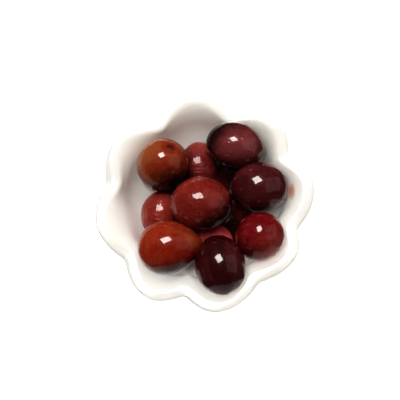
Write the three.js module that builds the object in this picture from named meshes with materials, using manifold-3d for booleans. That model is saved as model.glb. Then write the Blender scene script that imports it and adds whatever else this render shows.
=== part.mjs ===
// A scalloped porcelain dish, about 90 mm across, heaped with two layers of olives.
// Millimetres, +Z up. The origin lies under the middle of the dish, on the surface it stands on.
import * as THREE from 'three';
import { mergeVertices } from 'three/addons/utils/BufferGeometryUtils.js';
import Module from 'manifold-3d';

// Dish: heights and radii of its plain profile, before the petals push it in and out.
const FLOOR_HEIGHT = 7.4;
const FLOOR_RADIUS = 12;
const RIM_HEIGHT = 30;
const RIM_RADIUS = 42.9;
const LIP_RADIUS = 1.6;
const FOOT_INNER_RADIUS = 20.5;
const FOOT_OUTER_RADIUS = 24.5;
const FOOT_RECESS = 1.6;
const OUTER_WALL = [
  [25.6, 5.2], [28.4, 9.3], [31.4, 12.2], [33.9, 15.6], [35.3, 19.6], [36.2, 23.3], [37.6, 25.8],
  [39.6, 27.3],
];
const INNER_WALL = [
  [38.5, 29.8], [36.9, 29.1], [35.5, 27.9], [34.3, 26.2], [33.3, 24], [32.6, 21.3], [31.6, 18.3],
  [29.9, 15.5], [27.3, 13], [23.6, 10.8], [17.9, 8.6],
];
const OUTER_WALL_STEPS = 9;
const INNER_WALL_STEPS = 16;
const LIP_STEPS = 4;

// Petals, anticlockwise from above: heading of the notch before each one, of its crest, and its reach;
// how much further out its wall stands at half height, and how much further out the notch does higher up.
const PETALS = [
  { start: -16, crest: 10, reach: 45.2, belly: -1, ridge: -1 },
  { start: 30, crest: 50.6, reach: 45.9, belly: 0, ridge: 0.8 },
  { start: 74, crest: 97, reach: 46.4, belly: 0, ridge: 2.5 },
  { start: 120, crest: 144.4, reach: 45.5, belly: -1.5, ridge: 2.8 },
  { start: 168, crest: 192, reach: 45.3, belly: -4, ridge: 2.5 },
  { start: 216, crest: 238.6, reach: 45.8, belly: -3.5, ridge: 0 },
  { start: 258, crest: 277, reach: 45.6, belly: -3.5, ridge: -1.5 },
  { start: 304, crest: 328, reach: 43.7, belly: -3, ridge: -0.5 },
];
const NOTCH_RADIUS = 39.8;
const NOTCH_DROP = 1.2;
const HALF_PETAL_STEPS = 5;
const FLUTE_START_HEIGHT = 5;
const OUTER_SOFTNESS = 0.1;
const INNER_SOFTNESS = 0.4;
const RIDGE_LIFT = 3;
// The petals are uneven, so the middle of the dish lies this far from the axis that they are turned about.
const MIDDLE = [0.24, 0.725];

// Heap: each olive's centre, its length and width, the heading and upward pitch of its stem end in
// degrees, and how much narrower than the other that end is, or wider where this is below 0.
const OLIVES = [
  { at: [-17.1, 16.1, 27.1], length: 22.9, width: 21.1, heading: 60, pitch: 50, taper: 0 },
  { at: [-2.3, 17.7, 18.6], length: 20.2, width: 16.4, heading: 90, pitch: 10, taper: 0.1 },
  { at: [12.6, 23.4, 30.9], length: 24, width: 18.6, heading: 165, pitch: 0, taper: 0.02 },
  { at: [22.3, 6.1, 29.3], length: 23.8, width: 21, heading: 0, pitch: 8, taper: 0.04 },
  { at: [-1.2, -1.5, 34.2], length: 24.8, width: 21.4, heading: 0, pitch: 5, taper: 0.04 },
  { at: [-18, -2.9, 19.6], length: 19.6, width: 16.8, heading: 80, pitch: 0, taper: 0 },
  { at: [-14.3, -19.1, 32.9], length: 25, width: 21.3, heading: 188, pitch: -8, taper: -0.1 },
  { at: [6.2, -26.4, 34.9], length: 23.9, width: 20.4, heading: 100, pitch: 0, taper: 0.06 },
  { at: [22.1, -14.9, 33.9], length: 20.3, width: 19.4, heading: 220, pitch: -40, taper: 0 },
  { at: [1.9, -14.8, 19.9], length: 20.2, width: 16.7, heading: 0, pitch: 0, taper: 0 },
  { at: [16.1, -0.5, 16.2], length: 15.5, width: 14.2, heading: -30, pitch: 10, taper: 0 },
  { at: [12.4, 15.7, 16.7], length: 13.5, width: 12.8, heading: 30, pitch: 0, taper: 0 },
];
const OLIVE_SIDES = 16;
const OLIVE_RINGS = 9;
// The skins press into each other by this much, which joins the olives into one solid.
const PRESS = 0.35;
const CORE_PROFILE = [[11, 8.4], [16, 9.2], [18.5, 13], [17, 18], [11, 21.5], [5, 24]];
const CLEARANCE = 0.5;
const HEADROOM = 60;
const MERGE_DISTANCE = 1e-4;

const GLAZE_COLOUR = 0xf6f4f0;
const OLIVE_COLOUR = 0x6a2a26;

const wasm = await Module();
wasm.setup();

const radians = THREE.MathUtils.degToRad;

// Headings of the mesh's columns, in degrees, with one column in every notch and on every crest.
function columnHeadings() {
  const headings = [];
  PETALS.forEach((petal, index) => {
    const end = index + 1 < PETALS.length ? PETALS[index + 1].start : PETALS[0].start + 360;
    for (let step = 0; step < HALF_PETAL_STEPS; step += 1) {
      headings.push(THREE.MathUtils.lerp(petal.start, petal.crest, step / HALF_PETAL_STEPS));
    }
    for (let step = 0; step < HALF_PETAL_STEPS; step += 1) {
      headings.push(THREE.MathUtils.lerp(petal.crest, end, step / HALF_PETAL_STEPS));
    }
  });
  return headings;
}

// How full the petals stand at a column: 0 in a notch and 1 on a crest, rounded over near the notch.
function fullness(column, softness) {
  const step = column % (2 * HALF_PETAL_STEPS);
  const fromNotch = Math.min(step, 2 * HALF_PETAL_STEPS - step) / HALF_PETAL_STEPS;
  const rise = Math.hypot(Math.sin((Math.PI / 2) * fromNotch), softness) - softness;
  return rise / (Math.hypot(1, softness) - softness);
}

// The outline's radius at a column, at rim height.
function outlineRadius(column, softness) {
  const petal = PETALS[Math.floor(column / (2 * HALF_PETAL_STEPS))];
  return THREE.MathUtils.lerp(NOTCH_RADIUS, petal.reach, fullness(column, softness));
}

// The share of the fluted height that lies below a height.
function flutedShare(height) {
  const share = (height - FLUTE_START_HEIGHT) / (RIM_HEIGHT - FLUTE_START_HEIGHT);
  return THREE.MathUtils.clamp(share, 0, 1);
}

// A hump that is 0 at both ends of its range, 0 and 1, and 1 in the middle.
function hump(place) {
  return 4 * place * (1 - place);
}

// How much further out than its plain profile the wall stands at a share of its height: a petal by its
// belly, most at half height, and a notch by its ridge, most nearer to the rim.
function bulge(column, softness, share) {
  const turn = 2 * HALF_PETAL_STEPS;
  const { belly } = PETALS[Math.floor(column / turn)];
  const { ridge } = PETALS[Math.floor((column + HALF_PETAL_STEPS) / turn) % PETALS.length];
  const full = fullness(column, softness);
  return hump(share) * full * belly + hump(share ** RIDGE_LIFT) * (1 - full) * ridge;
}

// Turns a profile about +Z and pushes it in and out with the petals, most at the rim and not at the floor.
function flutedGeometry(profile) {
  const headings = columnHeadings();
  const points = profile.map(({ radius, height }) => new THREE.Vector2(radius, height));
  const geometry = new THREE.LatheGeometry(points, headings.length);
  const position = geometry.attributes.position;
  for (let turn = 0; turn <= headings.length; turn += 1) {
    const column = turn % headings.length;
    const heading = radians(headings[column]);
    profile.forEach(({ radius, height, softness }, row) => {
      const share = radius > FLOOR_RADIUS ? flutedShare(height) : 0;
      const depth = THREE.MathUtils.smoothstep(share, 0, 1);
      const push = depth * (outlineRadius(column, softness) - RIM_RADIUS) + bulge(column, softness, share);
      const drop = NOTCH_DROP * depth * depth * (1 - fullness(column, softness));
      position.setXYZ(
        turn * profile.length + row,
        (radius + push) * Math.cos(heading),
        (radius + push) * Math.sin(heading),
        height - drop,
      );
    });
  }
  geometry.computeVertexNormals();
  return geometry;
}

// Points of a smooth wall between two ends, without the ends themselves.
function wallPoints(first, between, last, steps, softness) {
  const curve = new THREE.SplineCurve([first, ...between, last].map(([x, y]) => new THREE.Vector2(x, y)));
  const points = curve.getPoints(steps).slice(1, -1);
  return points.map(({ x, y }) => ({ radius: x, height: y, softness }));
}

// The lip is a quarter of a circle, from its outer edge up to its crown.
function lipPoints() {
  const points = [];
  for (let step = 0; step <= LIP_STEPS; step += 1) {
    const angle = (Math.PI / 2) * (step / LIP_STEPS);
    points.push({
      radius: RIM_RADIUS - LIP_RADIUS * (1 - Math.cos(angle)),
      height: RIM_HEIGHT - LIP_RADIUS * (1 - Math.sin(angle)),
      softness: THREE.MathUtils.lerp(OUTER_SOFTNESS, INNER_SOFTNESS, step / LIP_STEPS),
    });
  }
  return points;
}

// The dish's inner wall, from the lip's crown down to the edge of the floor.
function innerWallPoints() {
  const crown = lipPoints().at(-1);
  const edge = { radius: FLOOR_RADIUS, height: FLOOR_HEIGHT, softness: INNER_SOFTNESS };
  const ends = [[crown.radius, crown.height], [edge.radius, edge.height]];
  return [crown, ...wallPoints(ends[0], INNER_WALL, ends[1], INNER_WALL_STEPS, INNER_SOFTNESS), edge];
}

function dishGeometry() {
  const lip = lipPoints();
  const outer = { softness: OUTER_SOFTNESS };
  const edge = [lip[0].radius, lip[0].height];
  return flutedGeometry([
    { radius: 0, height: FOOT_RECESS, ...outer },
    { radius: FOOT_INNER_RADIUS - FOOT_RECESS, height: FOOT_RECESS, ...outer },
    { radius: FOOT_INNER_RADIUS, height: 0, ...outer },
    { radius: FOOT_OUTER_RADIUS, height: 0, ...outer },
    ...wallPoints([FOOT_OUTER_RADIUS, 0], OUTER_WALL, edge, OUTER_WALL_STEPS, OUTER_SOFTNESS),
    ...lip.slice(0, -1),
    ...innerWallPoints(),
    { radius: 0, height: FLOOR_HEIGHT, softness: INNER_SOFTNESS },
  ]);
}

// The room inside the dish and above it, drawn in from the floor and the wall by the clearance.
function roomGeometry() {
  const wall = innerWallPoints().map(({ radius, height, softness }) => ({
    radius: radius - CLEARANCE,
    height: height + CLEARANCE,
    softness,
  }));
  const top = { radius: wall[0].radius, height: HEADROOM, softness: INNER_SOFTNESS };
  return flutedGeometry([
    { radius: 0, height: FLOOR_HEIGHT + CLEARANCE, softness: INNER_SOFTNESS },
    ...wall.reverse(),
    top,
    { ...top, radius: 0 },
  ]);
}

// An olive is an egg turned about its long axis, whose stem end lies along its heading and pitch.
function oliveGeometry({ at, length, width, heading, pitch, taper }) {
  const points = [];
  for (let ring = 0; ring <= OLIVE_RINGS; ring += 1) {
    const angle = Math.PI * (1 - ring / OLIVE_RINGS);
    const radius = (width / 2 + PRESS) * Math.sin(angle) * (1 - taper * Math.cos(angle));
    const onAxis = ring === 0 || ring === OLIVE_RINGS;
    points.push(new THREE.Vector2(onAxis ? 0 : radius, (length / 2 + PRESS) * Math.cos(angle)));
  }
  const geometry = new THREE.LatheGeometry(points, OLIVE_SIDES);
  const level = Math.cos(radians(pitch));
  const axis = new THREE.Vector3(
    level * Math.cos(radians(heading)),
    level * Math.sin(radians(heading)),
    Math.sin(radians(pitch)),
  );
  const turn = new THREE.Quaternion().setFromUnitVectors(new THREE.Vector3(0, 1, 0), axis);
  geometry.applyQuaternion(turn);
  geometry.translate(...at);
  return geometry;
}

// The core is a low round mound that joins the olives of the bottom layer under the top one.
function coreGeometry() {
  const floor = CORE_PROFILE[0][1];
  const top = CORE_PROFILE[CORE_PROFILE.length - 1][1];
  const points = [[0, floor], ...CORE_PROFILE, [0, top]].map(([x, y]) => new THREE.Vector2(x, y));
  return new THREE.LatheGeometry(points, OLIVE_SIDES).rotateX(Math.PI / 2);
}

function solidFrom(geometry) {
  geometry.deleteAttribute('normal');
  geometry.deleteAttribute('uv');
  const merged = mergeVertices(geometry, MERGE_DISTANCE);
  const mesh = new wasm.Mesh({
    numProp: 3,
    vertProperties: merged.attributes.position.array,
    triVerts: new Uint32Array(merged.index.array),
  });
  return new wasm.Manifold(mesh);
}

function geometryFrom(solid) {
  const mesh = solid.getMesh();
  const geometry = new THREE.BufferGeometry();
  geometry.setAttribute('position', new THREE.BufferAttribute(mesh.vertProperties, 3));
  geometry.setIndex(new THREE.BufferAttribute(mesh.triVerts, 1));
  geometry.computeVertexNormals();
  return geometry;
}

// The heap is the olives and their core as one solid, kept inside the dish's room.
function heapGeometry() {
  const olives = OLIVES.map((olive) => solidFrom(oliveGeometry(olive)));
  const joined = olives.reduce((heap, olive) => heap.add(olive), solidFrom(coreGeometry()));
  return geometryFrom(joined.intersect(solidFrom(roomGeometry())));
}

// Everything is drawn about the dish's axis, and then moved so that the origin lies under its middle.
function makePart(name, geometry, color, roughness) {
  geometry.translate(-MIDDLE[0], -MIDDLE[1], 0);
  const material = new THREE.MeshStandardMaterial({ color, roughness, metalness: 0 });
  const mesh = new THREE.Mesh(geometry, material);
  mesh.name = name;
  return mesh;
}

const group = new THREE.Group();
group.add(makePart('dish', dishGeometry(), GLAZE_COLOUR, 0.18));
group.add(makePart('olive_heap', heapGeometry(), OLIVE_COLOUR, 0.25));

export default group;
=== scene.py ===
"""A scalloped porcelain dish heaped with wet table olives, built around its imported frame.

Lengths are in metres unless a name says otherwise, +Z is up, and the origin lies under the middle
of the dish, on the surface it stands on. Shapes that follow a rule are Geometry Nodes trees whose
inputs are the sizes held by the classes below.
"""

import logging
import math
from collections.abc import Callable, Mapping, Sequence
from dataclasses import dataclass, field
from enum import Enum
from typing import Any

import bpy
import numpy as np
from mathutils import Euler, Matrix, Vector


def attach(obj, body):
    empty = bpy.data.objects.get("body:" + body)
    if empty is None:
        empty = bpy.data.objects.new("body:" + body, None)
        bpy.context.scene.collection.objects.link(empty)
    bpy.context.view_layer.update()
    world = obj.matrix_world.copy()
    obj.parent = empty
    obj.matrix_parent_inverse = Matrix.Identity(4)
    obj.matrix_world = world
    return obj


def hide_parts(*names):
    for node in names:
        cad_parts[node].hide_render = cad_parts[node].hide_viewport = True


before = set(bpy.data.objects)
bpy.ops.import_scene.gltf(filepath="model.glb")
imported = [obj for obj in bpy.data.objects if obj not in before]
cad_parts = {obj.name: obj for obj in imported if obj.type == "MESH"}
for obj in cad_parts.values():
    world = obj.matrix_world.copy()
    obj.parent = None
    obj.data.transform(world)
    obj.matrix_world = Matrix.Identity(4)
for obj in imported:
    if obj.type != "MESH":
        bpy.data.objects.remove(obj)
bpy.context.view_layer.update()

MM = 0.001
MIDDLE = (0.24 * MM, 0.725 * MM, 0.0)
log = logging.getLogger("dish_of_olives")

Socket = bpy.types.NodeSocket
Object = bpy.types.Object
Mesh = bpy.types.Mesh
Colour = tuple[float, float, float]
Point = tuple[float, float, float]
Ends = tuple[float, float]
Settings = Mapping[str, Any] | None
Inputs = Mapping[str | int, Any] | None


# Node graphs


def math_method(operation: str, reflected: bool = False) -> Callable[..., "Value"]:
    """Makes a method of Value that adds one Math node.

    Args:
        operation: The node's operation.
        reflected: Whether the value is the last operand, as in 1 - value.

    Returns:
        The method, which takes the other operands.
    """

    def method(value: "Value", *others: "Value | float") -> "Value":
        """The result of a Math node with the value and the other operands."""
        operands = (*others, value) if reflected else (value, *others)
        settings = {"operation": operation}
        return value.graph.value("ShaderNodeMath", settings, dict(enumerate(operands)))

    return method


@dataclass(frozen=True)
class Value:
    """A number socket of a graph. Python expressions on it add the graph's Math nodes."""

    graph: "Graph"
    socket: Socket

    __add__, __radd__ = math_method("ADD"), math_method("ADD", reflected=True)
    __sub__, __rsub__ = math_method("SUBTRACT"), math_method("SUBTRACT", reflected=True)
    __mul__, __rmul__ = math_method("MULTIPLY"), math_method("MULTIPLY", reflected=True)
    __truediv__, __rtruediv__ = math_method("DIVIDE"), math_method("DIVIDE", reflected=True)
    __pow__, __rpow__ = math_method("POWER"), math_method("POWER", reflected=True)
    __mod__ = math_method("FLOORED_MODULO")
    __rmod__ = math_method("FLOORED_MODULO", reflected=True)
    floor = math_method("FLOOR")
    sin, cos = math_method("SINE"), math_method("COSINE")
    exp, root = math_method("EXPONENT"), math_method("SQRT")
    least, most = math_method("MINIMUM"), math_method("MAXIMUM")
    above = math_method("GREATER_THAN")

    def clamped(self) -> "Value":
        """The value, held between 0 and 1."""
        return self.most(0.0).least(1.0)

    def bell(self, width: float) -> "Value":
        """A bell curve of the value: 1 at 0, and 1/e at the width."""
        return (self * self * (-1 / width**2)).exp()

    def hump(self) -> "Value":
        """A parabola of the value: 1 at a half, and 0 at 0 and at 1."""
        return self * (1.0 - self) * 4.0

    def step(self, low: float, high: float) -> "Value":
        """A smooth step of the value.

        Args:
            low: The value at which the step gives 0.
            high: The value at which it gives 1. It may be the lower of the two.

        Returns:
            The step, from 0 to 1.
        """
        rising = high > low
        ends = {1: low, 2: high, 3: 0.0, 4: 1.0} if rising else {1: high, 2: low, 3: 1.0, 4: 0.0}
        settings = {"interpolation_type": "SMOOTHSTEP"}
        return self.graph.value("ShaderNodeMapRange", settings, {0: self, **ends})


@dataclass(frozen=True)
class Pattern:
    """A noise pattern.

    Attributes:
        scale: How many lumps there are for each unit of place.
        detail: How many finer layers are added.
        roughness: How strong the finer layers are.
        shift: What is added to a seed, so that the patterns of one seed differ.
        stretch: How much denser the lumps lie along each axis.
    """

    scale: float
    detail: float = 2.0
    roughness: float = 0.5
    shift: float = 0.0
    stretch: Point = (1.0, 1.0, 1.0)


@dataclass(frozen=True)
class Graph:
    """A shader or geometry node tree that is written as Python calls and expressions."""

    tree: bpy.types.NodeTree

    def node(self, kind: str, settings: Settings = None, inputs: Inputs = None) -> bpy.types.Node:
        """Adds a node, sets it up, and then feeds its sockets.

        Args:
            kind: The node's type.
            settings: Its properties, set first.
            inputs: The values or links of its sockets, by name or number.

        Returns:
            The node.
        """
        made = self.tree.nodes.new(kind)
        for name, value in (settings or {}).items():
            setattr(made, name, value)
        for key, value in (inputs or {}).items():
            self.feed(made.inputs[key], value)
        return made

    def feed(self, socket: Socket, value: Any) -> None:
        """Links a socket to another, or sets its number, vector, colour, text or data.

        Args:
            socket: The input socket.
            value: A Value, an output socket or a plain value. A colour may leave out its alpha.
        """
        if isinstance(value, Value):
            value = value.socket
        if isinstance(value, Socket):
            self.tree.links.new(value, socket)
        elif socket.type == "RGBA" and len(value) == 3:
            socket.default_value = (*value, 1.0)
        else:
            socket.default_value = value

    def out(
        self, kind: str, settings: Settings = None, inputs: Inputs = None, output: int = 0
    ) -> Socket:
        """Adds a node as node() does, and gives the output socket of this number."""
        return self.node(kind, settings, inputs).outputs[output]

    def value(
        self, kind: str, settings: Settings = None, inputs: Inputs = None, output: int = 0
    ) -> Value:
        """Adds a node as node() does, and gives that output as a number for expressions."""
        return Value(self, self.out(kind, settings, inputs, output))

    def vector(self, operation: str, *operands: Any) -> Socket:
        """The vector that comes out of a Vector Math node with these operands."""
        inputs = dict(enumerate(operands))
        return self.out("ShaderNodeVectorMath", {"operation": operation}, inputs)

    def length(self, vector: Any) -> Value:
        """The length of a vector."""
        return self.value("ShaderNodeVectorMath", {"operation": "LENGTH"}, {0: vector}, output=1)

    def dot(self, first: Any, second: Any) -> Value:
        """The dot product of two vectors."""
        settings = {"operation": "DOT_PRODUCT"}
        return self.value("ShaderNodeVectorMath", settings, {0: first, 1: second}, output=1)

    def parts(self, vector: Any) -> tuple[Value, Value, Value]:
        """The x, y and z of a vector."""
        made = self.node("ShaderNodeSeparateXYZ", inputs={0: vector})
        return tuple(Value(self, socket) for socket in made.outputs)

    def joined(self, x: Any, y: Any, z: Any) -> Socket:
        """The vector of three numbers."""
        return self.out("ShaderNodeCombineXYZ", inputs={0: x, 1: y, 2: z})

    def mix(self, factor: Any, first: Any, second: Any) -> Socket:
        """The mix of two colours: a factor of 0 gives the first, and 1 the second."""
        inputs = {0: factor, 6: first, 7: second}
        return self.out("ShaderNodeMix", {"data_type": "RGBA"}, inputs, output=2)

    def noise(self, place: Any, pattern: Pattern, seed: Any = 0.0) -> Value:
        """The height of a noise pattern at a place, around 0.5.

        Args:
            place: The vector that the pattern follows.
            pattern: The pattern.
            seed: A number that gives another pattern of the same kind.

        Returns:
            The pattern's height.
        """
        inputs = {
            "Vector": self.vector("MULTIPLY", place, pattern.stretch),
            "W": seed + pattern.shift,
            "Scale": pattern.scale,
            "Detail": pattern.detail,
            "Roughness": pattern.roughness,
        }
        return self.value("ShaderNodeTexNoise", {"noise_dimensions": "4D"}, inputs)

    def cells(self, place: Any, scale: float, feature: str = "F1") -> Value:
        """The distance to the nearest of a pattern of scattered points, or to a cell's edge."""
        inputs = {"Vector": place, "Scale": scale}
        return self.value("ShaderNodeTexVoronoi", {"feature": feature}, inputs)

    def bump(self, height: Value, depth: float, strength: float = 1.0) -> Socket:
        """The normal that a relief of this height and depth gives."""
        inputs = {"Strength": strength, "Distance": depth, "Height": height}
        return self.out("ShaderNodeBump", inputs=inputs)


# Meshes and objects


def write_attribute(mesh: Mesh, name: str, values: Any) -> None:
    """Writes an attribute of a mesh's points.

    Args:
        mesh: The mesh.
        name: The attribute's name.
        values: One number or one vector for each point.
    """
    flat = np.asarray(values, np.float32)
    kind, key = ("FLOAT", "value") if flat.ndim == 1 else ("FLOAT_VECTOR", "vector")
    mesh.attributes.new(name, kind, "POINT").data.foreach_set(key, flat.ravel())


def mesh_of(name: str, points: Sequence[Any], faces: Sequence[Any] = ()) -> Mesh:
    """Makes a mesh of points, and of faces where it has them.

    Args:
        name: The mesh's name.
        points: The points.
        faces: The numbers of each face's points.

    Returns:
        The mesh.
    """
    mesh = bpy.data.meshes.new(name)
    mesh.from_pydata(points, [], faces)
    return mesh


def seeds_of(name: str, numbers: Mapping[str, Sequence[Any]]) -> Mesh:
    """Makes a mesh of loose points at the origin, each of which carries what shapes one thing.

    Args:
        name: The mesh's name.
        numbers: For each attribute, one number or vector for each point.

    Returns:
        The mesh.
    """
    count = max((len(values) for values in numbers.values()), default=1)
    mesh = mesh_of(name, [(0.0, 0.0, 0.0)] * count)
    for label, values in numbers.items():
        write_attribute(mesh, label, values)
    return mesh


def add_object(name: str, data: bpy.types.ID) -> Object:
    """Puts an object into the scene.

    Args:
        name: The object's name.
        data: The mesh, light or camera that it holds.

    Returns:
        The object.
    """
    made = bpy.data.objects.new(name, data)
    bpy.context.scene.collection.objects.link(made)
    return made


@dataclass
class ShapeTree:
    """A Geometry Nodes tree with named inputs that turns a base mesh into a finished one.

    Attributes:
        name: The tree's name.
        graph: The tree as calls and expressions.
        source: The base mesh's geometry, inside the tree.
        keys: The identifier of each named input.
        values: What each of them is set to.
    """

    name: str
    graph: Graph = field(init=False)
    source: Socket = field(init=False)
    keys: dict[str, str] = field(init=False, default_factory=dict)
    values: dict[str, Any] = field(init=False, default_factory=dict)

    def __post_init__(self) -> None:
        """Makes the empty tree with its geometry in and out."""
        tree = bpy.data.node_groups.new(self.name, "GeometryNodeTree")
        for way in ("INPUT", "OUTPUT"):
            tree.interface.new_socket("Geometry", in_out=way, socket_type="NodeSocketGeometry")
        self.graph = Graph(tree)
        self.source = self.graph.out("NodeGroupInput")

    def input(self, name: str, kind: str, value: Any = None) -> Socket:
        """Adds a named input.

        Args:
            name: What the input holds.
            kind: Its type: Float, Int, Object or Material.
            value: What it is set to.

        Returns:
            The input inside the tree.
        """
        interface = self.graph.tree.interface
        made = interface.new_socket(name, in_out="INPUT", socket_type="NodeSocket" + kind)
        self.keys[name] = made.identifier
        self.values[name] = value
        return self.graph.node("NodeGroupInput").outputs[name]

    def number(self, name: str, value: float) -> Value:
        """Adds a named input that holds a number."""
        return Value(self.graph, self.input(name, "Float", float(value)))

    def sizes(self, owner: Any, *names: str) -> list[Value]:
        """Adds an input for each of these sizes of a class, named after its field."""
        return [self.number(name.replace("_", " ").title(), getattr(owner, name)) for name in names]

    def carried(self, name: str) -> Value:
        """The number of this name that each point of the base mesh carries."""
        kind = {"data_type": "FLOAT"}
        return self.graph.value("GeometryNodeInputNamedAttribute", kind, {"Name": name})

    def carried_vector(self, name: str) -> Socket:
        """The vector of this name that each point of the base mesh carries."""
        kind = {"data_type": "FLOAT_VECTOR"}
        return self.graph.out("GeometryNodeInputNamedAttribute", kind, {"Name": name})

    def stored(self, geometry: Any, name: str, kind: str, value: Any) -> Socket:
        """The geometry with an attribute of this name and kind written to its points."""
        settings = {"data_type": kind, "domain": "POINT"}
        inputs = {0: geometry, "Name": name, "Value": value}
        return self.graph.out("GeometryNodeStoreNamedAttribute", settings, inputs)

    def end(self, geometry: Socket) -> None:
        """Ends the tree: real geometry, smooth, with the material of the input "Finish".

        Args:
            geometry: The finished shape.
        """
        graph = self.graph
        finish = self.input("Finish", "Material")
        real = graph.out("GeometryNodeRealizeInstances", inputs={0: geometry})
        smooth = graph.out("GeometryNodeSetShadeSmooth", inputs={0: real})
        dressed = graph.out("GeometryNodeSetMaterial", inputs={0: smooth, "Material": finish})
        graph.node("NodeGroupOutput", inputs={0: dressed})

    def grow(self, piece: str, base: Mesh, finish: "Finish") -> Object:
        """Runs the tree on a base mesh and keeps the result as a plain mesh.

        Args:
            piece: The name of the piece that comes out.
            base: The base mesh.
            finish: The piece's finish.

        Returns:
            The piece, with no modifier left on it.
        """
        worker = add_object(piece + "_base", base)
        modifier = worker.modifiers.new(self.name, "NODES")
        modifier.node_group = self.graph.tree
        self.values["Finish"] = finish.material()
        for name, key in self.keys.items():
            modifier[key] = self.values[name]
        graph = bpy.context.evaluated_depsgraph_get()
        shown = worker.evaluated_get(graph)
        mesh = bpy.data.meshes.new_from_object(
            shown, preserve_all_data_layers=True, depsgraph=graph
        )
        mesh.name = piece
        bpy.data.objects.remove(worker)
        return add_object(piece, mesh)


# Finishes


@dataclass(frozen=True)
class Finish:
    """A procedural material of this name."""

    name: str

    def sockets(self, graph: Graph) -> dict[str, Any]:
        """What the Principled shader's sockets take."""
        raise NotImplementedError

    def material(self) -> bpy.types.Material:
        """Makes the material.

        Returns:
            The material.
        """
        made = bpy.data.materials.new(self.name)
        made.use_nodes = True
        made.node_tree.nodes.clear()
        graph = Graph(made.node_tree)
        shader = graph.out("ShaderNodeBsdfPrincipled", inputs=self.sockets(graph))
        graph.node("ShaderNodeOutputMaterial", inputs={"Surface": shader})
        return made


CLOUD = Pattern(1.3, 3.0, 0.55)
FLECK = Pattern(7.0, 4.0, 0.65, shift=3.0)
STREAK = Pattern(1.0, shift=7.0, stretch=(9.0, 9.0, 2.0))
RIPPLE = Pattern(4.5, 3.0, shift=11.0)
RING = Pattern(1.0, shift=17.0, stretch=(2.2, 2.2, 13.0))


@dataclass(frozen=True)
class OliveSkin(Finish):
    """A wet olive skin: mottled, pored, darker on its ripe side and paler on its fresh one.

    The dark ripe side is partly painted shade, and the pale fresh side partly painted light and
    sheen.

    The fields from patch_ends on are the same for all skins: colours, densities for each half
    width of an olive, the two ends of smooth steps, and how much each layer counts.

    Attributes:
        ripe: The colour of the ripest side, which is partly painted shade.
        fresh: The colour the mottling leans to, and the fresh side's painted light and sheen.
        mottle: How strongly the skin is mottled.
        pores: How strongly the pale pores show.
        bloom: How strongly a pale film veils the skin.
    """

    ripe: Colour
    fresh: Colour
    mottle: float
    pores: float
    bloom: float
    patch_ends: Ends = (0.42, 0.56)
    patch_share: float = 0.45
    fleck_share: float = 0.9
    streak_share: float = 0.6
    ripe_lean: float = 0.8
    pore_colour: Colour = (0.30, 0.13, 0.08)
    pore_density: float = 11.0
    pore_ends: Ends = (0.16, 0.06)
    bloom_colour: Colour = (0.20, 0.11, 0.11)
    bloom_ends: Ends = (0.35, 0.75)
    scar_colour: Colour = (0.07, 0.010, 0.008)
    scar_ends: Ends = (0.045, 0.012)
    scar_share: float = 0.7
    cloud_warp: float = 1.6
    fleck_warp: float = 0.25
    crease_density: float = 1.25
    crease_ends: Ends = (0.035, 0.0)
    creased_ends: Ends = (0.42, 0.62)
    ring_ends: Ends = (0.45, 0.7)
    driest: float = 1.05
    ripple_relief: float = 0.8
    crease_relief: float = 1.5
    ring_relief: float = 1.6
    dry_relief: float = 2.2
    fleck_relief: float = 0.14
    relief_depth: float = 0.12 * MM
    roughness: float = 0.42
    wet_smoothing: float = 0.16
    fleck_roughness: float = 0.14
    base_shine: float = 0.1
    coat: float = 0.9
    cloud_coat: float = 0.2
    coat_roughness: float = 0.02
    coat_index: float = 1.5

    def sockets(self, graph: Graph) -> dict[str, Any]:
        """Works out the skin from its own attributes.

        Args:
            graph: The material's nodes.

        Returns:
            What the Principled shader's sockets take.
        """
        kind = "ShaderNodeAttribute"
        skin, tint = (
            graph.out(kind, {"attribute_name": name}, output=1) for name in ("skin", "tint")
        )
        blush, green, seed, gloss = (
            graph.value(kind, {"attribute_name": name}, output=2)
            for name in ("blush", "green", "seed", "gloss")
        )
        cloud, fleck, streak, ripple, ring = (
            graph.noise(skin, pattern, seed) for pattern in (CLOUD, FLECK, STREAK, RIPPLE, RING)
        )
        _, _, height = graph.parts(skin)

        patch = cloud.step(*self.patch_ends) - 0.5
        lean = patch * self.patch_share + (fleck - 0.5) * self.fleck_share
        lean = (lean + (streak - 0.5) * self.streak_share) * self.mottle
        # Painted light and sheen: the fresh side, mostly facing the light, leans to the pale
        # colour.
        base = graph.mix((green + lean).clamped(), tint, self.fresh)
        # Painted shade: the ripe side, mostly turned from the light, leans to the dark ripe colour.
        base = graph.mix((blush - lean * self.ripe_lean).clamped(), base, self.ripe)
        pore = graph.cells(skin, self.pore_density).step(*self.pore_ends)
        base = graph.mix(pore * self.pores, base, self.pore_colour)
        veil = fleck.step(*self.bloom_ends) * 0.5 + 0.5
        base = graph.mix(veil * self.bloom, base, self.bloom_colour)
        from_axis = 1.0 - height * height
        scar = from_axis.step(*self.scar_ends) * height.above(0.0)
        base = graph.mix(scar * self.scar_share, base, self.scar_colour)

        warp = graph.joined(cloud * self.cloud_warp, fleck * self.fleck_warp, seed)
        folded = graph.vector("ADD", skin, warp)
        edge = graph.cells(folded, self.crease_density, "DISTANCE_TO_EDGE")
        crease = edge.step(*self.crease_ends) * fleck.step(*self.creased_ends)
        lines = streak + ring.step(*self.ring_ends) * self.ring_relief
        lines = lines * (self.driest - gloss) * self.dry_relief
        relief = ripple * self.ripple_relief + crease * self.crease_relief + lines
        relief = relief + fleck * self.fleck_relief
        unevenness = (fleck - 0.5) * self.fleck_roughness
        coat = gloss * self.coat + (cloud - 0.5) * self.cloud_coat
        return {
            "Base Color": base,
            "Roughness": self.roughness - gloss * self.wet_smoothing + unevenness,
            "Specular IOR Level": self.base_shine,
            "Coat Weight": coat.least(1.0),
            "Coat Roughness": self.coat_roughness,
            "Coat IOR": self.coat_index,
            "Normal": graph.bump(relief, self.relief_depth),
        }


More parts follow.
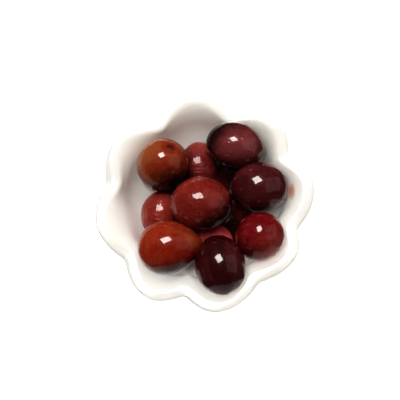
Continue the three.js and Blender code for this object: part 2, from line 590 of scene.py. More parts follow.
POOLS = Pattern(45.0)
GRAIN = Pattern(900.0, 3.0, 0.6)
SMEAR_FRINGE = Pattern(700.0)


@dataclass(frozen=True)
class Glaze(Finish):
    """White porcelain glaze, with an unglazed foot and one small smear of brine on the wall.

    Fields in _ends are the two ends of a smooth step, and those in _share, _roughness and _relief
    are how much a layer counts. The foot is bare up to bare_height and fully glazed from
    glazed_height up. In smear_weight an axis that counts less lets the smear reach further, and
    smear_fringe is how uneven its edge is.
    """

    white: Colour = (0.93, 0.927, 0.905)
    pooled: Colour = (0.915, 0.914, 0.895)
    pool_ends: Ends = (0.4, 0.7)
    pool_share: float = 0.5
    speck: Colour = (0.35, 0.30, 0.25)
    speck_density: float = 260.0
    speck_ends: Ends = (0.05, 0.02)
    speck_share: float = 0.12
    biscuit: Colour = (0.62, 0.58, 0.52)
    bare_height: float = 0.4 * MM
    glazed_height: float = 0.9 * MM
    smear: Colour = (0.80, 0.34, 0.22)
    smear_at: Point = (35.7 * MM, 4.8 * MM, 25.6 * MM)
    smear_weight: Point = (1.0, 0.42, 0.55)
    smear_radius: float = 2.0 * MM
    smear_core: float = 0.5 * MM
    smear_fringe: float = 1.2 * MM
    smear_share: float = 0.8
    roughness: float = 0.13
    pool_roughness: float = 0.06
    foot_roughness: float = 0.6
    smear_smoothing: float = 0.05
    coat: float = 0.5
    coat_roughness: float = 0.06
    translucency: float = 0.35
    light_reach: float = 3 * MM
    light_reach_colour: Colour = (1.0, 0.99, 0.97)
    pool_relief: float = 0.8
    grain_relief: float = 0.02
    foot_relief: float = 0.5
    relief_depth: float = 0.2 * MM
    relief_strength: float = 0.35

    def sockets(self, graph: Graph) -> dict[str, Any]:
        """Works out the glaze from the place on the dish.

        Args:
            graph: The material's nodes.

        Returns:
            What the Principled shader's sockets take.
        """
        place = graph.out("ShaderNodeTexCoord", output=3)
        _, _, height = graph.parts(place)
        pools = graph.noise(place, POOLS)
        grain = graph.noise(place, GRAIN)
        pooling = pools.step(*self.pool_ends) * self.pool_share
        base = graph.mix(pooling, self.white, self.pooled)
        speck = graph.cells(place, self.speck_density).step(*self.speck_ends)
        base = graph.mix(speck * self.speck_share, base, self.speck)
        foot = height.step(self.glazed_height, self.bare_height)
        base = graph.mix(foot, base, self.biscuit)

        shift = graph.vector("SUBTRACT", place, self.smear_at)
        away = graph.length(graph.vector("MULTIPLY", shift, self.smear_weight))
        fringe = (graph.noise(place, SMEAR_FRINGE) - 0.5) * self.smear_fringe
        smear = (away + fringe).step(self.smear_radius, self.smear_core)
        base = graph.mix(smear * self.smear_share, base, self.smear)
        rough = self.roughness + (pools - 0.5) * self.pool_roughness
        rough = rough + foot * self.foot_roughness - smear * self.smear_smoothing
        relief = pools * self.pool_relief + grain * (self.grain_relief + foot * self.foot_relief)
        return {
            "Base Color": base,
            "Roughness": rough,
            "Coat Weight": self.coat - foot * self.coat,
            "Coat Roughness": self.coat_roughness,
            "Subsurface Weight": self.translucency,
            "Subsurface Scale": self.light_reach,
            "Subsurface Radius": self.light_reach_colour,
            "Normal": graph.bump(relief, self.relief_depth, self.relief_strength),
        }


TINGE = Pattern(900.0, 1.0)


@dataclass(frozen=True)
class Brine(Finish):
    """Clear salty water, faintly tinted by the fruit, and roughest where it is most tinted."""

    clear: Colour = (1.0, 0.86, 0.80)
    tinted: Colour = (0.95, 0.75, 0.70)
    roughness: float = 0.04
    index: float = 1.34

    def sockets(self, graph: Graph) -> dict[str, Any]:
        """Works out the brine from the place on the heap.

        Args:
            graph: The material's nodes.

        Returns:
            What the Principled shader's sockets take.
        """
        tinge = graph.noise(graph.out("ShaderNodeTexCoord", output=3), TINGE)
        return {
            "Base Color": graph.mix(tinge, self.clear, self.tinted),
            "Roughness": tinge * self.roughness,
            "Transmission Weight": 1.0,
            "IOR": self.index,
        }


@dataclass(frozen=True)
class Paper(Finish):
    """White paper that glows a little, so that shadows on it stay faint."""

    grey: Colour = (0.5, 0.5, 0.5)
    roughness: float = 0.9
    light: Colour = (1.0, 1.0, 1.0)
    glow: float = 0.88

    def sockets(self, graph: Graph) -> dict[str, Any]:
        """What the Principled shader's sockets take."""
        shine = {"Emission Color": self.light, "Emission Strength": self.glow}
        return {"Base Color": self.grey, "Roughness": self.roughness, **shine}


# The dish


@dataclass(frozen=True)
class Petal:
    """One petal of the dish.

    Attributes:
        start: The heading of the notch before it, in degrees.
        crest: The heading of its crest, in degrees.
        reach: The crest's distance from the middle.
        belly: How much further out its wall stands at half height.
        ridge: How much further out the wall stands in the notch before it, near the rim.
    """

    start: float
    crest: float
    reach: float
    belly: float = 0.0
    ridge: float = 0.0


@dataclass
class ScallopedDish:
    """A thick porcelain dish whose wall swells into eight uneven petals."""

    floor_height: float = 7.4 * MM
    floor_radius: float = 12 * MM
    rim_height: float = 30 * MM
    rim_radius: float = 42.9 * MM
    lip_radius: float = 1.6 * MM
    lip_turn: float = 90.0
    foot_inner_radius: float = 20.5 * MM
    foot_outer_radius: float = 24.5 * MM
    foot_recess: float = 1.6 * MM
    recess_slope: tuple = ((1.5, 1.0), (0.5, 0.6))
    foot_edge: float = 0.3 * MM
    foot_inner_edge: float = 0.1 * MM
    foot_edge_height: float = 0.15 * MM
    outer_wall_mm: tuple = (
        (25.6, 5.2), (28.4, 9.3), (31.4, 12.2), (33.9, 15.6),
        (35.3, 19.6), (36.2, 23.3), (37.6, 25.8), (39.6, 27.3),
    )
    inner_wall_mm: tuple = (
        (38.5, 29.8), (36.9, 29.1), (35.5, 27.9), (34.3, 26.2), (33.3, 24), (32.6, 21.3),
        (31.6, 18.3), (29.9, 15.5), (27.3, 13), (23.6, 10.8), (17.9, 8.6),
    )
    notch_radius: float = 39.8 * MM
    notch_drop: float = 1.2 * MM
    flute_start: float = 5 * MM
    outer_softness: float = 0.1
    inner_softness: float = 0.4
    wall_steps: int = 44
    lip_steps: int = 20
    floor_rings: int = 8
    half_petal_steps: int = 16
    floor_margin: float = 0.01 * MM
    weld_distance: float = 0.001 * MM
    petals: tuple[Petal, ...] = (
        Petal(-16, 10, 45.2 * MM, -1 * MM, -1 * MM),
        Petal(30, 50.6, 45.9 * MM, 0.0, 0.8 * MM),
        Petal(74, 97, 46.4 * MM, 0.0, 2.5 * MM),
        Petal(120, 144.4, 45.5 * MM, -1.5 * MM, 2.8 * MM),
        Petal(168, 192, 45.3 * MM, -4 * MM, 2.5 * MM),
        Petal(216, 238.6, 45.8 * MM, -3.5 * MM, 0.0),
        Petal(258, 277, 45.6 * MM, -3.5 * MM, -1.5 * MM),
        Petal(304, 328, 43.7 * MM, -3 * MM, -0.5 * MM),
    )

    def foot(self) -> list[tuple[float, float]]:
        """Works out the radius and height of the points from the middle to under the foot.

        Returns:
            The points, from the middle outwards.
        """
        recess, inner = self.foot_recess, self.foot_inner_radius
        slope = [(inner - along * recess, up * recess) for along, up in self.recess_slope]
        return [
            (0.0, recess),
            *slope,
            (inner - self.foot_inner_edge, self.foot_edge_height),
            (inner + self.foot_edge, 0.0),
            (self.foot_outer_radius - self.foot_edge, 0.0),
        ]

    def lip(self) -> list[Point]:
        """Works out the rounded lip.

        Returns:
            The radius, the height and the softness of its points, from the outside inwards.
        """
        points = []
        for step in range(self.lip_steps + 1):
            angle = math.radians(self.lip_turn) * step / self.lip_steps
            radius = self.rim_radius - self.lip_radius * (1 - math.cos(angle))
            height = self.rim_height - self.lip_radius * (1 - math.sin(angle))
            softer = (self.inner_softness - self.outer_softness) * step / self.lip_steps
            points.append((radius, height, self.outer_softness + softer))
        return points

    def profile(self) -> list[Point]:
        """Works out the plain profile, from under the foot over the lip to the middle of the floor.

        Returns:
            For each point its radius, its height, and how soft the notches are there.
        """
        lip = self.lip()
        foot_edge = (self.foot_outer_radius, self.foot_edge_height)
        floor_edge = (self.floor_radius, self.floor_height)
        outer = smooth_wall(foot_edge, self.outer_wall_mm, lip[0], self.wall_steps)
        inner = smooth_wall(lip[-1], self.inner_wall_mm, floor_edge, self.wall_steps)
        rings = range(self.floor_rings, -1, -1)
        floor = [(self.floor_radius * ring / self.floor_rings, self.floor_height) for ring in rings]
        points = [(r, z, self.outer_softness) for r, z in self.foot() + outer]
        return points + lip + [(r, z, self.inner_softness) for r, z in inner + floor]

    def petal_points(self) -> Mesh:
        """Makes one loose point for each petal, which carries its headings and reach.

        Returns:
            The points.
        """
        ends = [petal.start for petal in self.petals[1:]] + [self.petals[0].start + 360]
        numbers = {
            "start": [math.radians(petal.start) for petal in self.petals],
            "crest": [math.radians(petal.crest) for petal in self.petals],
            "end": [math.radians(end) for end in ends],
        }
        for name in ("reach", "belly", "ridge"):
            numbers[name] = [getattr(petal, name) for petal in self.petals]
        return seeds_of("petals", numbers)

    def tree(self, guide: Object) -> ShapeTree:
        """Builds the tree that turns the profile about the axis and swells it into petals.

        Args:
            guide: The object whose points are the profile.

        Returns:
            The tree.
        """
        shape = ShapeTree("scalloped_wall")
        graph = shape.graph
        profile_object = shape.input("Profile", "Object", guide)
        rows = shape.number("Rows", len(guide.data.vertices))
        petals = shape.number("Petals", len(self.petals))
        half, notch, drop = shape.sizes(self, "half_petal_steps", "notch_radius", "notch_drop")
        rim, top = shape.sizes(self, "rim_radius", "rim_height")
        low, floor = shape.sizes(self, "flute_start", "floor_radius")

        steps = half * 2.0
        columns = steps * petals
        grid_inputs = {0: columns, 1: rows - 1.0, 2: columns + 1.0, 3: rows}
        grid = graph.out("GeometryNodeMeshGrid", inputs=grid_inputs)
        across, along, _ = graph.parts(graph.out("GeometryNodeInputPosition"))
        column = (across + columns / 2.0 + 0.5).floor() % columns
        row = (along + (rows - 1.0) / 2.0 + 0.5).floor()
        petal = (column / steps).floor()
        step = column % steps

        def of_petal(name: str, number: Value = petal) -> Value:
            """Reads a number of a petal, at first the column's own."""
            inputs = {0: shape.source, 1: shape.carried(name), "Index": number}
            return graph.value("GeometryNodeSampleIndex", {"data_type": "FLOAT"}, inputs)

        rising = (step / half).least(1.0)
        falling = (step / half - 1.0).most(0.0)
        start, crest, end = of_petal("start"), of_petal("crest"), of_petal("end")
        heading = start + (crest - start) * rising + (end - crest) * falling

        profile = graph.out("GeometryNodeObjectInfo", inputs={"Object": profile_object}, output=4)
        spot = graph.out("GeometryNodeInputPosition")
        kind = {"data_type": "FLOAT_VECTOR"}
        sampled = graph.out("GeometryNodeSampleIndex", kind, {0: profile, 1: spot, "Index": row})
        radius, height, softness = graph.parts(sampled)

        from_notch = (step.least(steps - step) / half) * (math.pi / 2)
        swell = (from_notch.sin() ** 2.0 + softness * softness).root() - softness
        full = swell / ((softness * softness + 1.0).root() - softness)
        share = ((height - low) / (top - low)).clamped() * radius.above(floor + self.floor_margin)
        depth = share * share * (3.0 - share * 2.0)
        outline = notch + (of_petal("reach") - notch) * full
        nearest = (petal + (step / half - 1.0).above(0.0)) % petals
        cube = share * share * share
        bulge = share.hump() * full * of_petal("belly")
        bulge = bulge + cube.hump() * (1.0 - full) * of_petal("ridge", nearest)
        turned = radius + depth * (outline - rim) + bulge
        lowered = height - drop * depth * depth * (1.0 - full)
        place = graph.joined(turned * heading.cos(), turned * heading.sin(), lowered)
        placed = graph.out("GeometryNodeSetPosition", inputs={0: grid, "Position": place})
        merged_inputs = {0: placed, "Distance": self.weld_distance}
        shape.end(graph.out("GeometryNodeMergeByDistance", inputs=merged_inputs))
        return shape

    def build(self, glaze: Finish) -> Object:
        """Builds the dish.

        Args:
            glaze: Its finish.

        Returns:
            The dish as a plain mesh whose faces point outwards.
        """
        guide = add_object("profile_guide", mesh_of("profile", self.profile()))
        dish = self.tree(guide).grow("scalloped_dish", self.petal_points(), glaze)
        bpy.data.objects.remove(guide)
        face_outwards(dish.data)
        return dish


def smooth_wall(
    first: Sequence[float], between_mm: Sequence[Sequence[float]], last: Sequence[float], steps: int
) -> list[tuple[float, float]]:
    """Runs a smooth curve through a wall's points.

    Args:
        first: Radius and height of the lower end.
        between_mm: The points between the ends, in millimetres.
        last: Radius and height of the other end.
        steps: How many steps the whole curve takes.

    Returns:
        The curve's points, with its first point and without its last.
    """
    knots = [Vector(first[:2]), *(Vector(point) * MM for point in between_mm), Vector(last[:2])]
    spans = len(knots) - 1
    points = []
    for step in range(steps):
        place = step / steps * spans
        span = int(place)
        share = place - span
        before = knots[max(span - 1, 0)]
        here, there = knots[span], knots[span + 1]
        after = knots[min(span + 2, spans)]
        leaving, arriving = (there - before) / 2, (after - here) / 2
        square, cube = share**2, share**3
        spot = here * (2 * cube - 3 * square + 1) + there * (3 * square - 2 * cube)
        spot += leaving * (cube - 2 * square + share) + arriving * (cube - square)
        points.append((spot.x, spot.y))
    return points


def face_outwards(mesh: Mesh) -> None:
    """Turns a closed mesh's faces outwards, by the sign of its volume.

    Args:
        mesh: The mesh, changed in place.
    """
    mesh.calc_loop_triangles()
    volume = 0.0
    for triangle in mesh.loop_triangles:
        a, b, c = (mesh.vertices[index].co for index in triangle.vertices)
        volume += a.dot(b.cross(c)) / 6
    if volume < 0:
        mesh.flip_normals()


# The olives


class Kind(Enum):
    """The kinds of olive, each of which is one piece."""

    AMBER = "amber_olives"
    RED = "red_olives"
    DARK = "dark_olives"


SKINS = {
    Kind.AMBER: OliveSkin("amber_skin", (0.030, 0.004, 0.006), (0.34, 0.105, 0.038),
                          mottle=0.75, pores=0.42, bloom=0.02),
    Kind.RED: OliveSkin("red_skin", (0.040, 0.005, 0.006), (0.32, 0.062, 0.048),
                        mottle=0.70, pores=0.42, bloom=0.03),
    Kind.DARK: OliveSkin("dark_skin", (0.020, 0.0018, 0.003), (0.25, 0.056, 0.060),
                         mottle=0.45, pores=0.25, bloom=0.03),
}
# The core's skin, darker than any olive, is partly painted shade in the heap's gaps.
SHADED_CORE_SKIN = OliveSkin(
    "shaded_core_skin", (0.010, 0.0012, 0.002), (0.05, 0.006, 0.006), mottle=0.6, pores=0.05, bloom=0.0
)


@dataclass(frozen=True)
class Olive:
    """One olive.

    Attributes:
        at_mm: Its centre, in millimetres.
        length_mm: Its length, in millimetres.
        width_mm: Its width, in millimetres.
        heading: Where its stem end points, in degrees about +Z.
        pitch: How far its stem end points up, in degrees.
        kind: Its kind.
        tint: The colour of its skin.
        taper: How much narrower the stem end is than the other.
        wrinkle_mm: How deep its folds are, in millimetres.
        gloss: How wet it is, from 0 to 1.
        ripe_side: The direction that its ripest side faces, mostly away from the light, so that its
            dark colour is partly painted shade.
        ripeness: How ripe and shaded that side is. Above 1 the dark colour reaches further round.
        fresh_side: The direction that its least ripe side faces, mostly towards the light or a
            bright wall, so that its pale colour is partly painted light and sheen.
        freshness: How fresh and lit that side is, from 0 to 1.
        dent: The direction of its dent.
        dent_mm: How deep the dent is, in millimetres.
        tip_mm: How far the point of its other end stands out, in millimetres.
        tip_width: How wide that point is, as a share of the olive's width.
    """

    at_mm: Point
    length_mm: float
    width_mm: float
    heading: float
    pitch: float
    kind: Kind
    tint: Colour
    taper: float = 0.0
    wrinkle_mm: float = 0.10
    gloss: float = 1.0
    ripe_side: Point = (0.5, -0.7, -0.5)
    ripeness: float = 0.35
    fresh_side: Point = (-0.4, 0.9, 0.2)
    freshness: float = 0.25
    dent: Point = (0.0, 0.0, 1.0)
    dent_mm: float = 0.0
    tip_mm: float = 0.25
    tip_width: float = 0.22

    def turn(self) -> Euler:
        """The turn that lays the olive's axis, at first +Z, along its heading and pitch."""
        return Euler((0.0, math.radians(90 - self.pitch), math.radians(self.heading)))

    def own_direction(self, direction: Point) -> Vector:
        """A direction of the frame, as the olive sees it before its turn."""
        return self.turn().to_matrix().transposed() @ Vector(direction).normalized()


# Each olive's ripe side is mostly set away from the light: partly painted shade.
# Its fresh side is set towards the light or a bright wall: partly painted light and sheen.
OLIVES = (
    Olive((-17.1, 16.1, 27.1), 22.9, 21.1, 54, 56, Kind.AMBER, (0.30, 0.044, 0.012),
          ripe_side=(0.32, -0.94, -0.1), ripeness=1.2, fresh_side=(-0.9, 0.35, 0.2), freshness=0.9),
    Olive((-2.3, 17.7, 18.6), 20.2, 16.4, 90, 10, Kind.RED, (0.25, 0.034, 0.033), 0.1, 0.3, 0.6,
          ripe_side=(-0.85, -0.4, 0.1), ripeness=1.0, fresh_side=(0.25, 0.92, 0.2), freshness=1.0),
    Olive((12.6, 23.4, 30.9), 24, 18.6, 165, 0, Kind.DARK, (0.075, 0.012, 0.0115), 0.02,
          ripe_side=(-0.85, 0.5, 0.0), ripeness=1.45, fresh_side=(0.0, -0.2, 1), freshness=0.85),
    Olive((22.3, 6.1, 29.3), 23.8, 21, 0, 8, Kind.DARK, (0.082, 0.0095, 0.0125), 0.04,
          freshness=0.2),
    Olive((-1.2, -1.5, 34.2), 24.8, 21.4, 0, 5, Kind.RED, (0.26, 0.027, 0.019), 0.04, 0.2, 0.85,
          ripe_side=(0.75, -0.65, -0.1), ripeness=1.15),
    Olive((-18, -2.9, 19.6), 19.6, 16.8, 80, 0, Kind.RED, (0.32, 0.045, 0.031), 0.0, 0.35, 0.8,
          ripeness=0.1, dent=(-1, -0.1, 0.2), dent_mm=1.0),
    Olive((-14.3, -19.1, 32.9), 25, 21.3, 188, -8, Kind.AMBER, (0.33, 0.030, 0.009), -0.1, 0.08,
          ripe_side=(0.2, -1.0, -0.4), ripeness=1.2, fresh_side=(0.8, 0.6, 0.2), freshness=0.5,
          tip_mm=1.3, tip_width=0.33),
    Olive((6.2, -26.4, 34.9), 23.9, 20.4, 100, 0, Kind.DARK, (0.054, 0.0036, 0.0058), 0.06,
          freshness=0.13, fresh_side=(0.85, 0.4, 0.3)),
    Olive((22.1, -14.9, 33.9), 20.3, 19.4, 220, -40, Kind.RED, (0.205, 0.0035, 0.0080), 0.0, 0.08,
          ripe_side=(-0.8, -0.5, 0.0), ripeness=0.45, fresh_side=(0.5, -0.85, 0.1), freshness=1.0),
    # Olive 10's tint, far paler than its dark red skin, is painted light: it lies shaded under
    # olive 5.
    Olive((1.9, -14.8, 19.9), 20.2, 16.7, 0, 0, Kind.RED, (1.0, 0.165, 0.18), 0.0, 0.4, 0.8),
    Olive((16.1, -0.5, 16.2), 15.5, 14.2, -30, 10, Kind.DARK, (0.20, 0.018, 0.024), freshness=0.0),
    Olive((12.4, 15.7, 16.7), 13.5, 12.8, 30, 0, Kind.DARK, (0.05, 0.004, 0.004), freshness=0.0),
)

SWELL = Pattern(1.2, 1.0, 0.4)
FOLDS = Pattern(1.0, 1.5, shift=5.0, stretch=(4.6, 4.6, 1.1))


@dataclass
class OliveHeap:
    """The olives, grown from one point each by one tree."""

    olives: tuple[Olive, ...] = OLIVES
    segments: int = 112
    rings: int = 72
    undulation: float = 0.035
    dimple_depth: float = 0.8 * MM
    dimple_width: float = 0.15
    dent_width: float = 0.33
    side_ends: Ends = (0.1, 1.0)
    seed: float = 0.0
    seed_step: float = 3.7

    def tree(self) -> ShapeTree:
        """Builds the tree that stands a ball on each point and shapes it into its olive.

        Returns:
            The tree.
        """
        shape = ShapeTree("olive_shape")
        graph = shape.graph
        segments = shape.input("Segments", "Int", self.segments)
        rings = shape.input("Rings", "Int", self.rings)
        undulation, dimple_depth, shift = shape.sizes(self, "undulation", "dimple_depth", "seed")

        ball = graph.out("GeometryNodeMeshUVSphere", inputs={0: segments, 1: rings, 2: 1.0})
        spot = graph.out("GeometryNodeInputPosition")
        marked = shape.stored(ball, "skin", "FLOAT_VECTOR", spot)
        stands = {0: shape.source, "Instance": marked}
        placed = graph.out("GeometryNodeInstanceOnPoints", inputs=stands)
        real = graph.out("GeometryNodeRealizeInstances", inputs={0: placed})

        skin = shape.carried_vector("skin")
        seed = shape.carried("seed") + shift
        wide, along = shape.carried("half_width"), shape.carried("half_length")
        x, y, z = graph.parts(skin)
        across = (x * x + y * y).root()
        swell = (graph.noise(skin, SWELL, seed) - 0.5) * undulation * 2.0
        folds = (graph.noise(skin, FOLDS, seed) - 0.5) * 2.0
        gap = graph.length(graph.vector("SUBTRACT", skin, shape.carried_vector("dent")))
        sunk = gap.bell(self.dent_width) * shape.carried("dent_depth")
        relief = folds * shape.carried("wrinkle") - sunk
        grown = 1.0 + swell + relief / wide
        girth = wide * (1.0 - shape.carried("taper") * z) * grown
        dimple = across.bell(self.dimple_width) * z.above(0.0) * dimple_depth
        tip_gap = across / shape.carried("tip_width")
        tip = tip_gap.bell(1.0) * (0.0 - z).above(0.0) * shape.carried("tip")
        own = graph.joined(x * girth, y * girth, along * z * grown - dimple - tip)
        turn = graph.out("FunctionNodeEulerToRotation", inputs={0: shape.carried_vector("turn")})
        turned = graph.out("FunctionNodeRotateVector", inputs={0: own, 1: turn})
        place = graph.vector("ADD", turned, shape.carried_vector("centre"))

        shaded = graph.out("GeometryNodeSetPosition", inputs={0: real, "Position": place})
        # Painted shade on the side set as ripe, and painted light and sheen on the side set as
        # fresh.
        sides = (("blush", "ripe_side", "ripeness"), ("green", "fresh_side", "freshness"))
        for name, side, amount in sides:
            facing = graph.dot(skin, shape.carried_vector(side))
            shade = facing.step(*self.side_ends) * shape.carried(amount)
            shaded = shape.stored(shaded, name, "FLOAT", shade)
        shape.end(shaded)
        return shape

    def points(self, kind: Kind) -> Mesh:
        """Makes one loose point for each olive of a kind, which carries all that shapes it.

        Args:
            kind: The kind.

        Returns:
            The points.
        """
        chosen = [olive for olive in self.olives if olive.kind is kind]
        numbers: dict[str, list[Any]] = {
            "centre": [np.multiply(olive.at_mm, MM) for olive in chosen],
            "turn": [tuple(olive.turn()) for olive in chosen],
            "half_length": [olive.length_mm / 2 * MM for olive in chosen],
            "half_width": [olive.width_mm / 2 * MM for olive in chosen],
            "wrinkle": [olive.wrinkle_mm * MM for olive in chosen],
            "tip": [olive.tip_mm * MM for olive in chosen],
            "dent_depth": [olive.dent_mm * MM for olive in chosen],
            "seed": [self.olives.index(olive) * self.seed_step for olive in chosen],
        }
        for name in ("taper", "tip_width", "tint", "ripeness", "freshness", "gloss"):
            numbers[name] = [getattr(olive, name) for olive in chosen]
        for name in ("dent", "ripe_side", "fresh_side"):
            numbers[name] = [tuple(olive.own_direction(getattr(olive, name))) for olive in chosen]
        return seeds_of(kind.value + "_points", numbers)

    def build(self) -> list[Object]:
        """Builds the olives, one piece for each kind."""
        shape = self.tree()
        return [shape.grow(kind.value, self.points(kind), SKINS[kind]) for kind in Kind]


@dataclass
class HeapCore:
    """The lumpy dark mass that fills the hidden middle of the heap.

    Its skin takes its pattern from the place in the heap, in lengths of skin_unit, and the same
    colour and wetness all over. That colour, darker than the olives, is partly painted shade.
    """

    radius: float = 21 * MM
    half_height: float = 7.5 * MM
    middle_height: float = 15 * MM
    base_height: float = 10 * MM
    lump_size: float = 8 * MM
    lump_depth: float = 1.6 * MM
    subdivisions: int = 5
    skin_unit: float = 10 * MM
    # Darker than any olive: partly painted shade.
    tint: Colour = (0.03, 0.003, 0.004)
    blush: float = 0.3
    green: float = 0.0
    seed: float = 50.0
    gloss: float = 0.8

    def build(self, finish: Finish) -> Object:
        """Builds the core.

        Args:
            finish: Its finish.

        Returns:
            The core as a closed mesh.
        """
        shape = ShapeTree("heap_core")
        graph = shape.graph
        radius, half = shape.sizes(self, "radius", "half_height")
        middle, base = shape.sizes(self, "middle_height", "base_height")
        lump_size, lump_depth = shape.sizes(self, "lump_size", "lump_depth")
        ball = graph.out("GeometryNodeMeshIcoSphere", inputs={0: 1.0, 1: self.subdivisions})
        x, y, z = graph.parts(graph.out("GeometryNodeInputPosition"))
        wide, deep, high = x * radius, y * radius, z * half + middle
        shrink = 1.0 / lump_size
        lump_place = graph.joined(wide * shrink, deep * shrink, high * shrink)
        lift = (0.5 - graph.cells(lump_place, 1.0, "SMOOTH_F1")) * lump_depth
        place = graph.joined(wide, deep, (high + lift).most(base))
        shape.end(graph.out("GeometryNodeSetPosition", inputs={0: ball, "Position": place}))
        core = shape.grow("heap_core", seeds_of("core_point", {}), finish)
        count = len(core.data.vertices)
        places = np.empty(count * 3, np.float32)
        core.data.vertices.foreach_get("co", places)
        write_attribute(core.data, "skin", places.reshape(-1, 3) / self.skin_unit)
        for name in ("tint", "blush", "green", "seed", "gloss"):
            write_attribute(core.data, name, [getattr(self, name)] * count)
        return core


@dataclass
class BrineDrops:
    """Small drops of brine that cling to the upper side of the olives."""

    density: float = 14000.0
    least_radius: float = 0.15 * MM
    most_radius: float = 0.45 * MM
    flatness: float = 0.45
    least_slope: float = 0.25
    subdivisions: int = 3
    seed: int = 4

    def build(self, olives: Sequence[Object], finish: Finish) -> Object:
        """Scatters the drops.

        Args:
            olives: The pieces that they cling to.
            finish: The drops' finish.

        Returns:
            All drops as one mesh.
        """
        shape = ShapeTree("brine_drops")
        graph = shape.graph
        density, flatness, slope = shape.sizes(self, "density", "flatness", "least_slope")
        least, most = shape.sizes(self, "least_radius", "most_radius")
        seed = shape.input("Seed", "Int", self.seed)
        _, _, rise = graph.parts(graph.out("GeometryNodeInputNormal"))
        clings = {0: shape.source, 1: rise.above(slope), "Density": density, "Seed": seed}
        scatter = graph.node("GeometryNodeDistributePointsOnFaces", inputs=clings)
        random = {2: 0.0, 3: 1.0, "Seed": seed}
        kind = {"data_type": "FLOAT"}
        chance = graph.value("FunctionNodeRandomValue", kind, random, output=1)
        size = least + (most - least) * chance * chance
        drop = graph.out("GeometryNodeMeshIcoSphere", inputs={0: 1.0, 1: self.subdivisions})
        stands = {
            0: scatter.outputs[0],
            "Instance": drop,
            "Rotation": scatter.outputs[2],
            "Scale": graph.joined(size, size, size * flatness),
        }
        shape.end(graph.out("GeometryNodeInstanceOnPoints", inputs=stands))
        return shape.grow("brine_drops", joined_mesh("all_olives", olives), finish)


def joined_mesh(name: str, pieces: Sequence[Object]) -> Mesh:
    """Copies several meshes into one.

    Args:
        name: The new mesh's name.
        pieces: The objects that hold the meshes, all at the origin.

    Returns:
        The new mesh.
    """
    points, faces = [], []
    for piece in pieces:
        first = len(points)
        points += [tuple(vertex.co) for vertex in piece.data.vertices]
        faces += [[first + index for index in face.vertices] for face in piece.data.polygons]
    return mesh_of(name, points, faces)


# The stage


class Lit(Enum):
    """What a light shines on."""

    DISH = "the dish alone"
    INSIDE = "the dish alone, where only the dish and the heap's core shade it"
    OLIVES = "the olives alone"
    MIRROR = "nothing: wet skins only mirror it"


@dataclass(frozen=True)
class Panel:
    """A square light.

    Attributes:
        azimuth: Its heading from the dish, in degrees about +Z.
        elevation: Its height above the horizon, in degrees.
        distance: Its distance from the dish.
        size: Its side.
        radiance: How bright its face is.
        colour: Its colour.
        lit: What it shines on.
        roll: Its turn about its own axis, in degrees.
    """

    azimuth: float
    elevation: float
    distance: float
    size: float
    radiance: float
    colour: Colour
    lit: Lit
    roll: float = 0.0


PANELS = {
    "key": Panel(110, 68, 1.2, 0.52, 1.4, (1.0, 1.0, 1.0), Lit.DISH, 20),
    "zenith": Panel(-145, 82, 1.3, 0.2, 36.0, (1.0, 0.965, 0.90), Lit.DISH),
    "olive_key": Panel(110, 68, 1.2, 0.52, 4.8, (1.0, 1.0, 1.0), Lit.OLIVES, 20),
    "key_mirrored": Panel(108, 67.4, 1.1, 0.49, 13.0, (1.0, 0.97, 0.95), Lit.MIRROR, 10),
    "ceiling": Panel(110, 84, 1.5, 2.1, 0.08, (1.0, 0.975, 0.92), Lit.DISH),
    "olive_ceiling": Panel(108, 62, 1.5, 1.8, 1.42, (1.0, 0.975, 0.94), Lit.OLIVES),
    "east_mirrored": Panel(8, 40, 0.9, 1.0, 0.42, (1.0, 0.88, 0.90), Lit.MIRROR),
    "south_mirrored": Panel(-75, -36, 0.9, 1.5, 0.5, (1.0, 0.93, 0.90), Lit.MIRROR),
    "south_card": Panel(-98, 60, 0.9, 0.8, 0.25, (1.0, 0.935, 0.83), Lit.DISH),
    "north_fill": Panel(84, 28, 0.9, 0.8, 2.15, (1.0, 1.0, 0.985), Lit.INSIDE),
    "west_fill": Panel(160, 36, 0.9, 0.8, 0.30, (1.0, 0.985, 0.96), Lit.INSIDE),
    "east_card": Panel(10, 42, 0.9, 1.0, 0.40, (1.0, 0.86, 0.70), Lit.DISH),
}


def collection_of(name: str, pieces: Sequence[Object]) -> bpy.types.Collection:
    """Gathers pieces for a light to shine on or be shaded by.

    Args:
        name: The collection's name.
        pieces: What it holds.

    Returns:
        The collection.
    """
    made = bpy.data.collections.new(name)
    for piece in pieces:
        made.objects.link(piece)
    return made


def aimed(
    middle: Point, azimuth: float, elevation: float, distance: float, roll: float = 0.0
) -> Matrix:
    """Works out the place of something that looks at a point.

    Args:
        middle: The point.
        azimuth: The thing's heading from there, in degrees about +Z.
        elevation: Its height above the horizon, in degrees.
        distance: Its distance from the point.
        roll: Its turn about its own axis, in degrees.

    Returns:
        Its place and turn.
    """
    heading, rise = math.radians(azimuth), math.radians(elevation)
    level = math.cos(rise)
    back = Vector((level * math.cos(heading), level * math.sin(heading), math.sin(rise)))
    turn = back.to_track_quat("Z", "Y").to_matrix() @ Matrix.Rotation(math.radians(roll), 3, "Z")
    return Matrix.Translation(Vector(middle) + back * distance) @ turn.to_4x4()


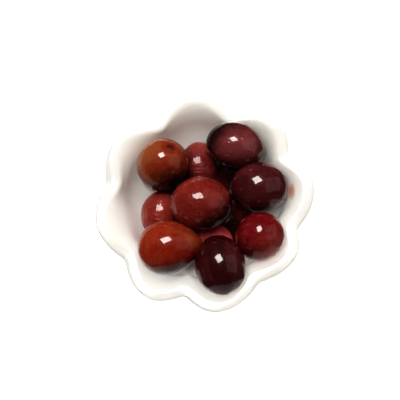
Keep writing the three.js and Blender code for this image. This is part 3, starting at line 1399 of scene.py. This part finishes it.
@dataclass
class Studio:
    """The pale floor, the lights and the camera."""

    floor_size: float = 6.0
    lights_aim: Point = (0.0, 0.0, 25 * MM)
    camera_distance: float = 0.5
    camera_azimuth: float = -90.0
    camera_elevation: float = 78.0
    camera_aim: Point = (-2.04 * MM, 0.1 * MM, 30 * MM)
    camera_clip: float = 0.01
    frame_width: float = 161.8 * MM
    sensor: float = 36.0
    room_colour: Colour = (1.0, 0.95, 0.9)
    room_strength: float = 0.06

    def add_floor(self) -> None:
        """Lays the floor."""
        half = self.floor_size / 2
        corners = [(-half, -half, 0), (half, -half, 0), (half, half, 0), (-half, half, 0)]
        floor = add_object("floor", mesh_of("floor", corners, [(0, 1, 2, 3)]))
        floor.data.materials.append(Paper("white_paper").material())
        floor.visible_glossy = False

    def add_light(self, name: str, panel: Panel) -> Object:
        """Adds a square light that faces the dish.

        Args:
            name: The light's name.
            panel: Its place, size and strength.

        Returns:
            The light.
        """
        light = bpy.data.lights.new(name, "AREA")
        light.shape = "SQUARE"
        light.size = panel.size
        light.energy = panel.radiance * math.pi * panel.size**2
        light.color = panel.colour
        lamp = add_object(name, light)
        lamp.visible_glossy = panel.lit is Lit.MIRROR
        lamp.visible_diffuse = panel.lit is not Lit.MIRROR
        heading = (panel.azimuth, panel.elevation, panel.distance, panel.roll)
        lamp.matrix_world = aimed(self.lights_aim, *heading)
        return lamp

    def add_camera(self) -> None:
        """Hangs the camera nearly straight above the dish."""
        camera = bpy.data.cameras.new("camera")
        camera.sensor_width = self.sensor
        camera.lens = self.sensor * self.camera_distance / self.frame_width
        camera.clip_start = self.camera_clip
        holder = add_object("camera", camera)
        heading = (self.camera_azimuth, self.camera_elevation, self.camera_distance)
        holder.matrix_world = aimed(self.camera_aim, *heading)
        bpy.context.scene.camera = holder

    def build(self, dish: Object, olives: Sequence[Object], core: Object) -> None:
        """Sets up the whole stage.

        Args:
            dish: The dish, which some of the lights shine on alone.
            olives: The olives, on which others do.
            core: The heap's core, which shades the dish from every light.
        """
        self.add_floor()
        on_dish = collection_of("dish_alone", (dish,))
        on_olives = collection_of("heap_alone", (*olives, core))
        receivers = {Lit.DISH: on_dish, Lit.INSIDE: on_dish, Lit.OLIVES: on_olives}
        blockers = collection_of("dish_and_core", (dish, core))
        for name, panel in PANELS.items():
            lamp = self.add_light(name, panel)
            if panel.lit in receivers:
                lamp.light_linking.receiver_collection = receivers[panel.lit]
            if panel.lit is Lit.INSIDE:
                lamp.light_linking.blocker_collection = blockers
        self.add_camera()
        scene = bpy.context.scene
        scene.world = bpy.data.worlds.new("dim_room")
        scene.world.use_nodes = True
        background = scene.world.node_tree.nodes["Background"]
        background.inputs["Color"].default_value = (*self.room_colour, 1.0)
        background.inputs["Strength"].default_value = self.room_strength
        scene.view_settings.view_transform = "Standard"
        scene.view_settings.look = "High Contrast"


def hand_over(piece: Object, node: str) -> None:
    """Moves a piece to the part's origin, rides it on the body and names what it stands for.

    Everything is drawn about the dish's axis. Its petals are uneven, so the middle of its box,
    under which the origin lies, is a little beside that axis.

    Args:
        piece: The finished piece.
        node: The CAD node that it replaces.
    """
    piece.data.transform(Matrix.Translation(Vector(MIDDLE)).inverted())
    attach(piece, "root")
    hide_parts(node)
    log.info("%s: %d faces, stands for %s", piece.name, len(piece.data.polygons), node)


def main() -> None:
    """Builds the dish, the heap and the stage, in order."""
    logging.basicConfig(level=logging.INFO, format="%(name)s: %(message)s")
    dish = ScallopedDish().build(Glaze("white_glaze"))
    hand_over(dish, "dish")
    olives = OliveHeap().build()
    drops = BrineDrops().build(olives, Brine("brine"))
    for piece in (*olives, drops):
        hand_over(piece, "olive_heap")
    core = HeapCore().build(SHADED_CORE_SKIN)
    hand_over(core, "olive_heap")
    Studio().build(dish, (*olives, drops), core)


if __name__ == "__main__":
    main()
